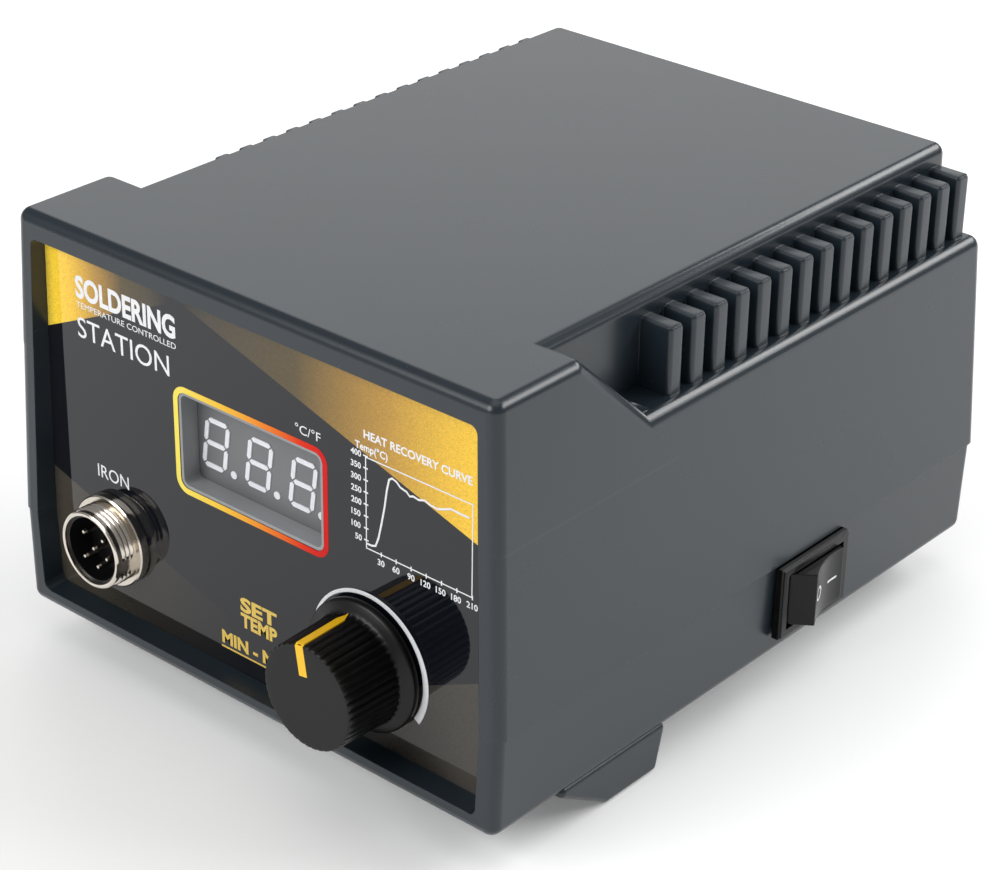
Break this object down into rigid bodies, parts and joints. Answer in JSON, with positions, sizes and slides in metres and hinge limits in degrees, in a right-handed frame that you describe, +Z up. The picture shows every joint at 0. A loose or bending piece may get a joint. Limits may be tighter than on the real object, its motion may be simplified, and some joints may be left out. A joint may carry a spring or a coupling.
{
  "type": "soldering iron station",
  "caption": "Bench soldering station: finned plastic case with a recessed front panel holding an iron socket, a temperature display and a knob, and a rocker power switch on the side.",
  "frame": {"origin": "middle of the whole part's box, at the bench the feet stand on", "axes": "+Z up; -Y out of the front panel; +X to the right as seen from the front, the side with the power switch"},
  "size_m": [0.1244, 0.1571, 0.0898],
  "materials": {
    "case_top": "satin, fine texture",
    "case_base": "satin, fine texture",
    "panel": "satin",
    "film": "glossy printed film",
    "display_frame": "matte",
    "display_face": "matte grey",
    "segments": "milky white",
    "board": "solder mask",
    "nickel": "warm nickel plate",
    "zinc": "zinc plate",
    "black_plastic": "semi-gloss",
    "pointer": "semi-gloss yellow",
    "rubber_foot": "matte",
    "tinned_brass": "tinned",
    "lamination": "varnished sheet steel",
    "coil_tape": "polyester tape",
    "alloy": "extruded",
    "chip": "moulded epoxy",
    "capacitor_sleeve": "shrink sleeve",
    "terminal_green": "moulded",
    "fuse_glass": "clear",
    "lead_brown": "insulation",
    "lead_red": "insulation"
  },
  "bodies": {
    "station": {"upper_case": "case_top", "lower_case": "case_base", "case_screws": "zinc", "rear_feet": "rubber_foot", "foot_screws": "zinc", "front_panel": "panel", "panel_film": "film", "display_bezel": "display_frame", "display_block": "display_face", "display_digits": "segments", "display_board": "board", "display_pins": "zinc", "iron_socket_shell": "nickel", "iron_socket_insert": "black_plastic", "iron_socket_pins": "nickel", "iron_socket_washer": "zinc", "iron_socket_nut": "nickel", "pot_body": "zinc", "pot_washer": "zinc", "pot_nut": "zinc", "pot_lugs": "zinc", "switch_housing": "black_plastic", "switch_terminals": "tinned_brass", "inlet_housing": "black_plastic", "inlet_blades": "tinned_brass", "inlet_screws": "zinc", "inlet_nuts": "zinc", "transformer_core": "lamination", "transformer_coil": "coil_tape", "transformer_strap": "zinc", "transformer_screws": "zinc", "control_board": "board", "board_screws": "zinc", "heat_sink": "alloy", "triac": "chip", "triac_screw": "zinc", "capacitors": "capacitor_sleeve", "control_chip": "chip", "terminal_blocks": "terminal_green", "fuse_clips": "tinned_brass", "fuse": "fuse_glass", "mains_leads": "lead_brown", "socket_leads": "lead_red"},
    "knob": {"knob_body": "black_plastic", "knob_pointer": "pointer", "knob_screw": "zinc", "pot_shaft": "zinc"},
    "rocker": {"switch_rocker": "black_plastic"}
  },
  "joints": [
    {"name": "knob_turn", "type": "hinge", "parent": "station", "child": "knob", "pos_m": [0.0238, -0.0633, 0.0284], "axis": [0, 1, 0], "range_deg": [-132, 138]},
    {"name": "power_rocker", "type": "hinge", "parent": "station", "child": "rocker", "pos_m": [0.0542, 0.0206, 0.0204], "axis": [0, 0, -1], "range_deg": [0, 22]}
  ]
}
